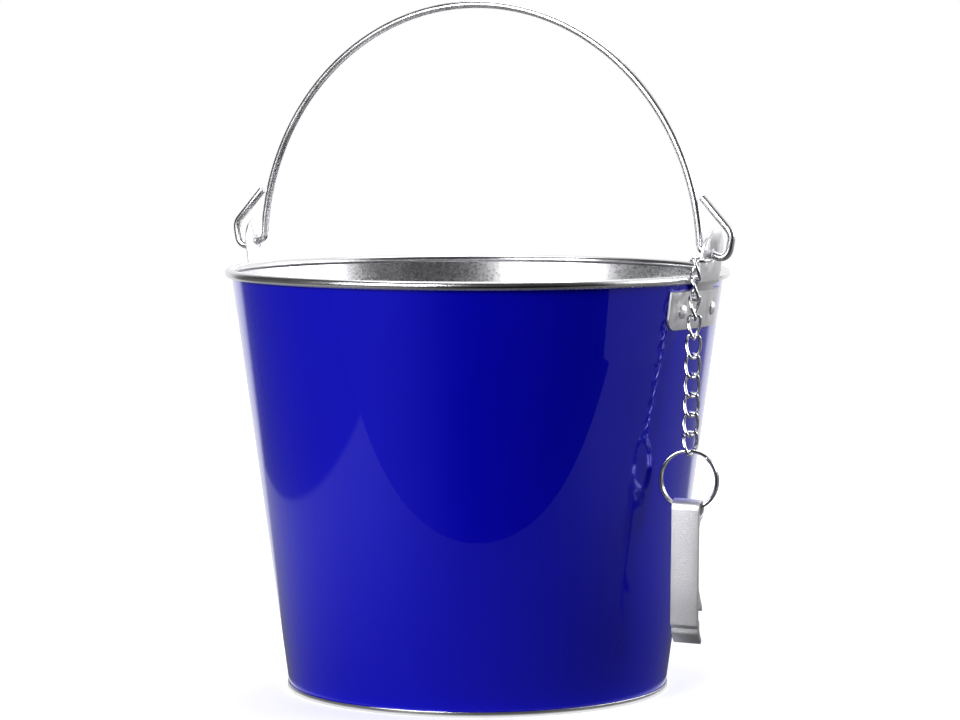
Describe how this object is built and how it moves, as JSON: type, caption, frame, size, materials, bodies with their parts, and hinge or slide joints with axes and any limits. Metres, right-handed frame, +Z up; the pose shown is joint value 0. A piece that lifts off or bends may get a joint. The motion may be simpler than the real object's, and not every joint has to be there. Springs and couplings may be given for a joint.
{
  "type": "drinks bucket",
  "caption": "Round tapered sheet-metal drinks bucket with rolled rim, wire bail on riveted ears, and a bottle opener hung from one ear on a curb chain and split ring.",
  "frame": {"origin": "centre of the round foot, on the plane the bucket stands on", "axes": "+Z up; the two ears and the bail's hinge line lie along X; the chain and opener hang beside the +X ear, on its -Y side"},
  "size_m": [0.2589, 0.23, 0.3131],
  "materials": {
    "blue_enamel": "gloss",
    "tinplate": "bright",
    "plated_steel": "bright",
    "opener_alloy": "satin"
  },
  "bodies": {
    "bucket": {"bucket_wall": "blue_enamel", "base_pan": "tinplate", "ear_bracket_front": "plated_steel", "ear_bracket_back": "plated_steel", "rivets_front": "plated_steel", "rivets_back": "plated_steel", "chain_link_01": "plated_steel"},
    "bail": {"bail_handle": "plated_steel"},
    "ring": {"split_ring": "plated_steel"},
    "opener": {"bottle_opener": "opener_alloy"},
    "link_02": {"chain_link_02": "plated_steel"},
    "link_03": {"chain_link_03": "plated_steel"},
    "link_04": {"chain_link_04": "plated_steel"},
    "link_05": {"chain_link_05": "plated_steel"},
    "link_06": {"chain_link_06": "plated_steel"},
    "link_07": {"chain_link_07": "plated_steel"},
    "link_08": {"chain_link_08": "plated_steel"},
    "link_09": {"chain_link_09": "plated_steel"},
    "link_10": {"chain_link_10": "plated_steel"},
    "link_11": {"chain_link_11": "plated_steel"}
  },
  "joints": [
    {"name": "bail_hinge", "type": "hinge", "parent": "bucket", "child": "bail", "pos_m": [0, 0, 0.201], "axis": [1, 0, 0], "range_deg": [-93, 84]},
    {"name": "link_02_swing", "type": "hinge", "parent": "bucket", "child": "link_02", "pos_m": [0.1171, -0.01693, 0.20015], "axis": [-0.1217, -0.9924, 0.016], "range_deg": [0, 35]},
    {"name": "link_03_swing", "type": "hinge", "parent": "link_02", "child": "link_03", "pos_m": [0.11685, -0.01706, 0.19], "axis": [-0.9923, 0.122, 0.0229], "range_deg": [-35, 35]},
    {"name": "link_04_swing", "type": "hinge", "parent": "link_03", "child": "link_04", "pos_m": [0.11668, -0.01715, 0.18316], "axis": [-0.6817, -0.7312, 0.0264], "range_deg": [0, 35]},
    {"name": "link_05_swing", "type": "hinge", "parent": "link_04", "child": "link_05", "pos_m": [0.11643, -0.01728, 0.17301], "axis": [0.7312, -0.6821, -0.0091], "range_deg": [0, 35]},
    {"name": "link_06_swing", "type": "hinge", "parent": "link_05", "child": "link_06", "pos_m": [0.11627, -0.01737, 0.16616], "axis": [0.9983, -0.0525, -0.0239], "range_deg": [-35, 35]},
    {"name": "link_07_swing", "type": "hinge", "parent": "link_06", "child": "link_07", "pos_m": [0.11601, -0.01751, 0.15602], "axis": [-0.0522, -0.9985, 0.0144], "range_deg": [0, 35]},
    {"name": "link_08_swing", "type": "hinge", "parent": "link_07", "child": "link_08", "pos_m": [0.11585, -0.0176, 0.14917], "axis": [-0.9561, 0.2925, 0.0197], "range_deg": [-35, 35]},
    {"name": "link_09_swing", "type": "hinge", "parent": "link_08", "child": "link_09", "pos_m": [0.1156, -0.01773, 0.13902], "axis": [-0.2921, -0.9562, 0.0197], "range_deg": [0, 35]},
    {"name": "link_10_swing", "type": "hinge", "parent": "link_09", "child": "link_10", "pos_m": [0.11543, -0.01782, 0.13218], "axis": [0.9874, -0.1566, -0.0223], "range_deg": [-35, 35]},
    {"name": "link_11_swing", "type": "hinge", "parent": "link_10", "child": "link_11", "pos_m": [0.11522, -0.01793, 0.12368], "axis": [-0.9922, -0.1217, 0.0261], "range_deg": [-15, 35]},
    {"name": "ring_swing", "type": "hinge", "parent": "link_11", "child": "ring", "pos_m": [0.11497, -0.01806, 0.11353], "axis": [0.122, -0.9925, 0.01], "range_deg": [0, 35]},
    {"name": "opener_swing", "type": "hinge", "parent": "ring", "child": "opener", "pos_m": [0.11438, -0.01838, 0.08964], "axis": [0.9899, 0.139, -0.0262], "range_deg": [-90, 90]}
  ]
}
